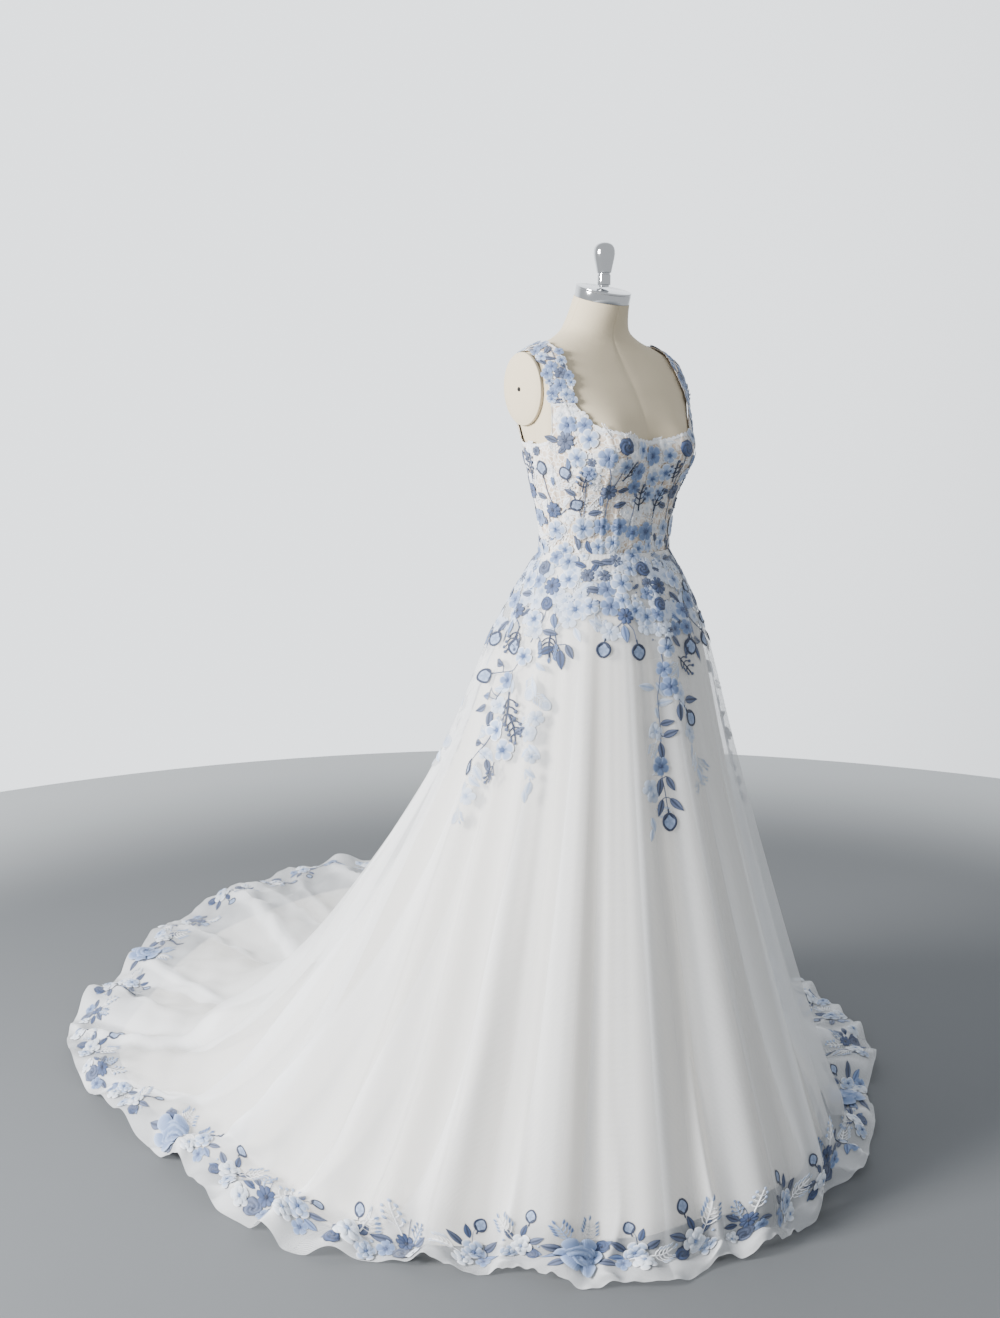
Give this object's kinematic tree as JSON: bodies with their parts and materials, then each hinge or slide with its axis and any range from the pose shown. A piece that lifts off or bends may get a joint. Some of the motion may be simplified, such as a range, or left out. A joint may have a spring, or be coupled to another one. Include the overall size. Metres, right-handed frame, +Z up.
{
  "type": "wedding dress on a dress form",
  "caption": "Sleeveless A-line wedding dress with a boned bodice, satin lining, tulle overskirt and long floor train, worn by a limbless dress form on a round-based stand.",
  "frame": {"origin": "on the floor, at the centre of the underside of the stand's round base, on the pole's axis", "axes": "+Z up along the pole; the dress faces -Y and its train lies along +Y; the wearer's left is +X"},
  "size_m": [1.6372, 2.2192, 1.6151],
  "materials": {
    "form_cover": "matt woven cover",
    "chrome": "polished",
    "stand_metal": "satin dark grey",
    "bodice_lace": "matt lace with thread embroidery",
    "lining_cloth": "soft satin",
    "tulle": "sheer matt net"
  },
  "bodies": {
    "root": {"arm_plate_left": "form_cover", "arm_plate_right": "form_cover", "arm_screw_left": "stand_metal", "arm_screw_right": "stand_metal", "bodice_back_left": "bodice_lace", "bodice_back_right": "bodice_lace", "bodice_front_centre": "bodice_lace", "bodice_front_left": "bodice_lace", "bodice_front_right": "bodice_lace", "bodice_side_left": "bodice_lace", "bodice_side_right": "bodice_lace", "form_torso": "form_cover", "lining_back_left": "lining_cloth", "lining_back_right": "lining_cloth", "lining_front": "lining_cloth", "neck_cap": "chrome", "neck_knob": "chrome", "stand_base": "stand_metal", "stand_pole": "stand_metal", "strap_left": "bodice_lace", "strap_right": "bodice_lace", "tulle_back_left": "tulle", "tulle_back_right": "tulle", "tulle_front": "tulle", "zip_strip": "bodice_lace"}
  },
  "joints": []
}
